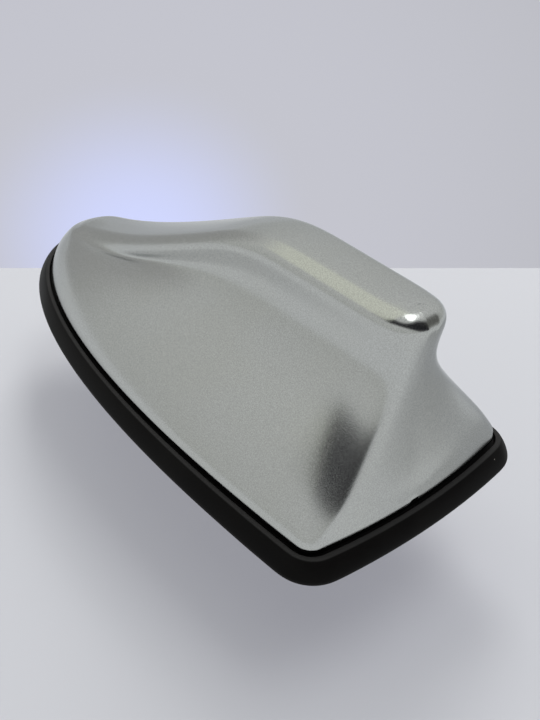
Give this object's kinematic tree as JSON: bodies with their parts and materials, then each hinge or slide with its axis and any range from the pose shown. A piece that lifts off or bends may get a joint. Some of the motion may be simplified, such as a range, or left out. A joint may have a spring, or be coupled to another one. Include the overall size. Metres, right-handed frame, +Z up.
{
  "type": "shark fin aerial",
  "caption": "Vehicle roof aerial: painted fin cover on a rubber seal over a die-cast base plate with boards, coil, patch, connector and one threaded stud.",
  "frame": {"origin": "on the mounting stud's axis, in the plane of the roof skin that the seal lies on", "axes": "+Z up from the roof, +Y towards the fin's rear with the nose at -Y, +X to the vehicle's left when it drives towards -Y"},
  "size_m": [0.0838, 0.1634, 0.0815],
  "materials": {
    "satin_paint": "satin silver paint with fine flake over a plastic moulding",
    "seal_rubber": "moulded matte black rubber",
    "cast_metal": "as cast, finely grained",
    "zinc_steel": "bright zinc plated",
    "spring_steel": "yellow passivated",
    "dark_steel": "dark zinc plated",
    "dark_plastic": "moulded, fine texture",
    "board_laminate": "green solder mask",
    "tinned_sheet": "bright tin plated",
    "pale_plastic": "moulded, semi-matte",
    "contact_gold": "gold flashed",
    "bond_pad": "matte",
    "patch_ceramic": "fired ceramic with a silvered face",
    "enamelled_wire": "clear enamel over copper",
    "damping_foam": "open-cell foam"
  },
  "bodies": {
    "root": {"fin_cover": "satin_paint", "base_seal": "seal_rubber", "base_plate": "cast_metal", "hole_ring": "seal_rubber", "mount_stud": "zinc_steel", "claw_plate": "spring_steel", "mount_nut": "zinc_steel", "vent_plug": "dark_plastic", "cover_screws": "dark_steel", "board_screws": "zinc_steel", "main_board": "board_laminate", "shield_can": "tinned_sheet", "connector_shroud": "pale_plastic", "jack_shells": "contact_gold", "jack_pins": "contact_gold", "patch_pad": "bond_pad", "satnav_patch": "patch_ceramic", "patch_pin": "tinned_sheet", "phone_blade": "board_laminate", "coil_former": "dark_plastic", "radio_coil": "enamelled_wire", "feed_clip": "contact_gold", "hat_plate": "tinned_sheet", "hat_foam": "damping_foam"}
  },
  "joints": []
}
